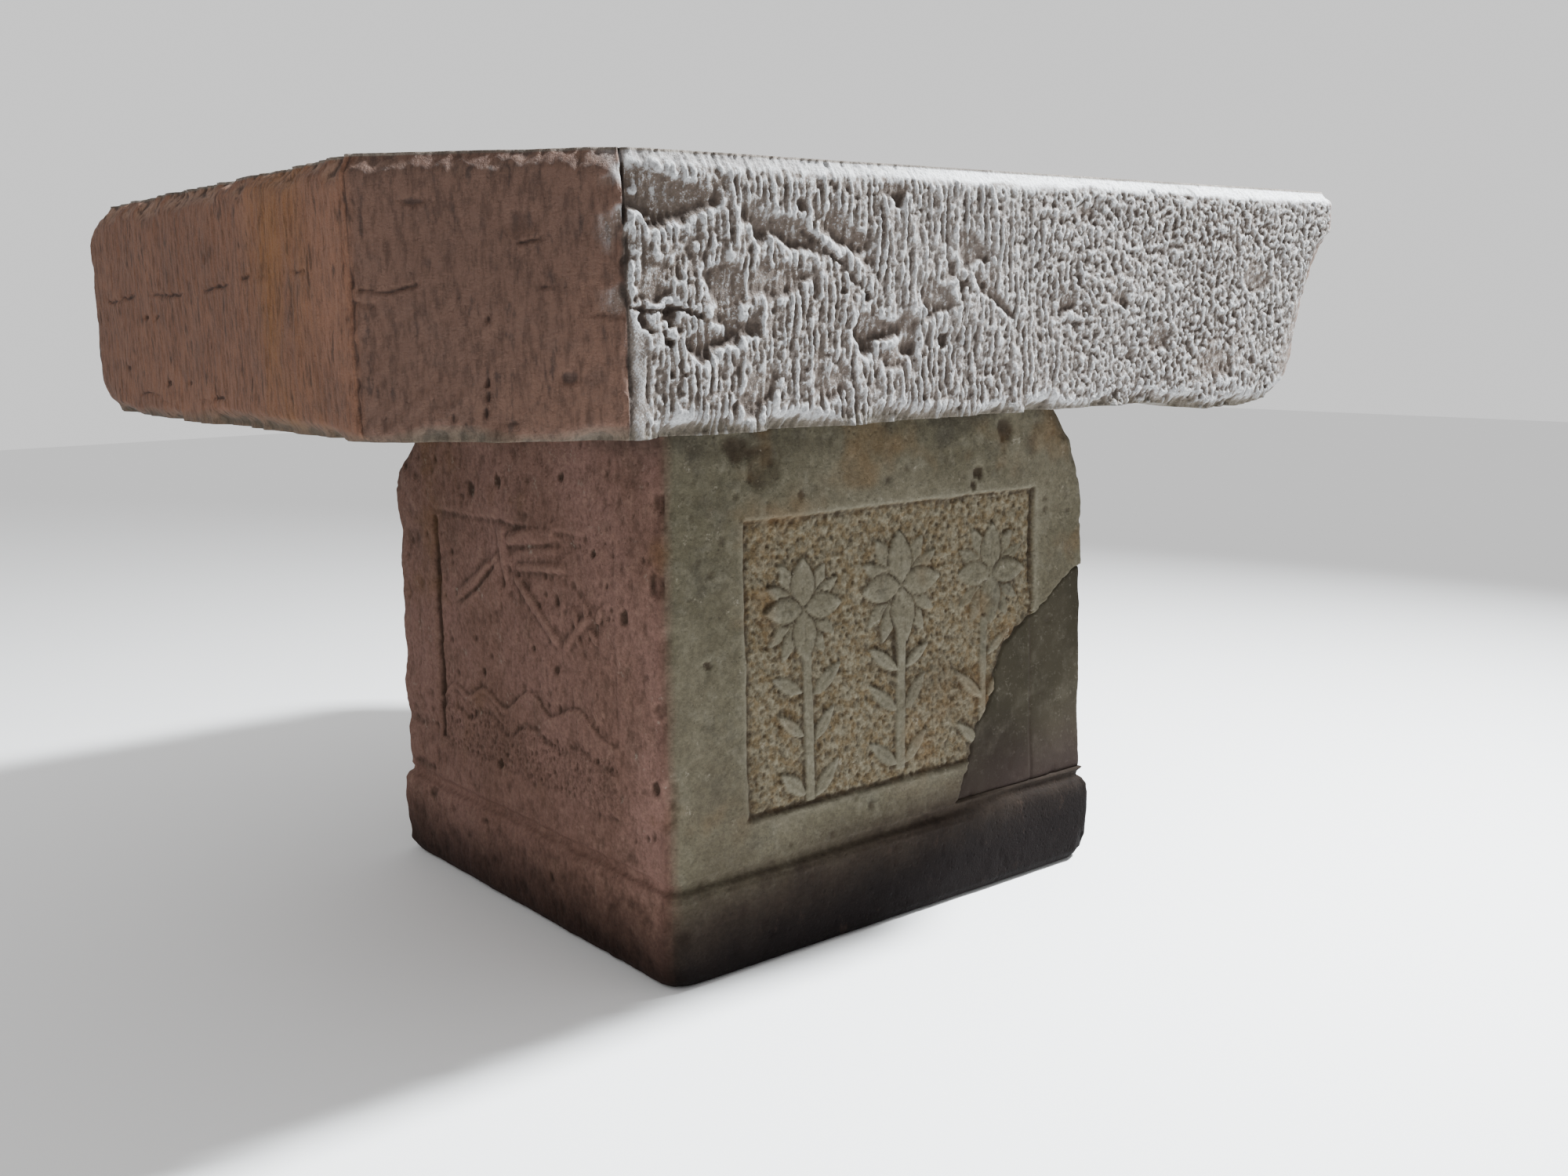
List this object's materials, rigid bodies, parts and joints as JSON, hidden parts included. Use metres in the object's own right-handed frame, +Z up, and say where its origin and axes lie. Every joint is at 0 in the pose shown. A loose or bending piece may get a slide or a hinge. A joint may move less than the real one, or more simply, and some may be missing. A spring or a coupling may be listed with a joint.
{
  "type": "baptismal font",
  "caption": "Stone font: a carved pedestal with sunk relief panels carries a thick slab with cut corners, holding a round lead-lined bowl with a drain and plug.",
  "frame": {"origin": "centre of the pedestal's foot, on the floor", "axes": "+Z up, front with the three carved flowers faces -Y, the carved bird faces -X, +X along the slab's length"},
  "size_m": [1.42, 1.126, 0.9],
  "materials": {
    "pedestal_stone": "weathered carved stone",
    "slab_stone": "tooled stone",
    "repair_stone": "smooth dressed repair",
    "lime_mortar": "lime mortar",
    "slate": "split slate",
    "wrought_iron": "rusted iron",
    "lead": "dull lead sheet",
    "poured_lead": "poured lead",
    "brass": "aged brass",
    "brass_nut": "rough brass",
    "copper_pipe": "dull copper",
    "seal_rubber": "soft rubber"
  },
  "bodies": {
    "font": {"basin_slab": "slab_stone", "bedding_mortar": "lime_mortar", "bowl_lining": "lead", "dowel_1": "wrought_iron", "dowel_2": "wrought_iron", "dowel_3": "wrought_iron", "dowel_4": "wrought_iron", "dowel_lead_1": "poured_lead", "dowel_lead_2": "poured_lead", "dowel_lead_3": "poured_lead", "dowel_lead_4": "poured_lead", "drain_backnut": "brass_nut", "drain_outlet": "brass", "drain_pipe": "copper_pipe", "drain_washer": "seal_rubber", "levelling_shim_1": "slate", "levelling_shim_2": "slate", "levelling_shim_3": "slate", "levelling_shim_4": "slate", "pedestal_block": "pedestal_stone", "pedestal_repair": "repair_stone", "repair_pin_1": "brass_nut", "repair_pin_2": "brass_nut", "union_nut": "brass_nut"},
    "stopper": {"plug_stopper": "brass", "plug_seal": "seal_rubber"},
    "pull_ring": {"plug_ring": "brass"}
  },
  "joints": [
    {"name": "plug_lift", "type": "slide", "parent": "font", "child": "stopper", "axis": [0, 0, 1], "range_m": [0, 0.12]},
    {"name": "ring_swing", "type": "hinge", "parent": "stopper", "child": "pull_ring", "pos_m": [0, 0, 0.74716], "axis": [0, -1, 0], "range_deg": [0, 214]}
  ]
}
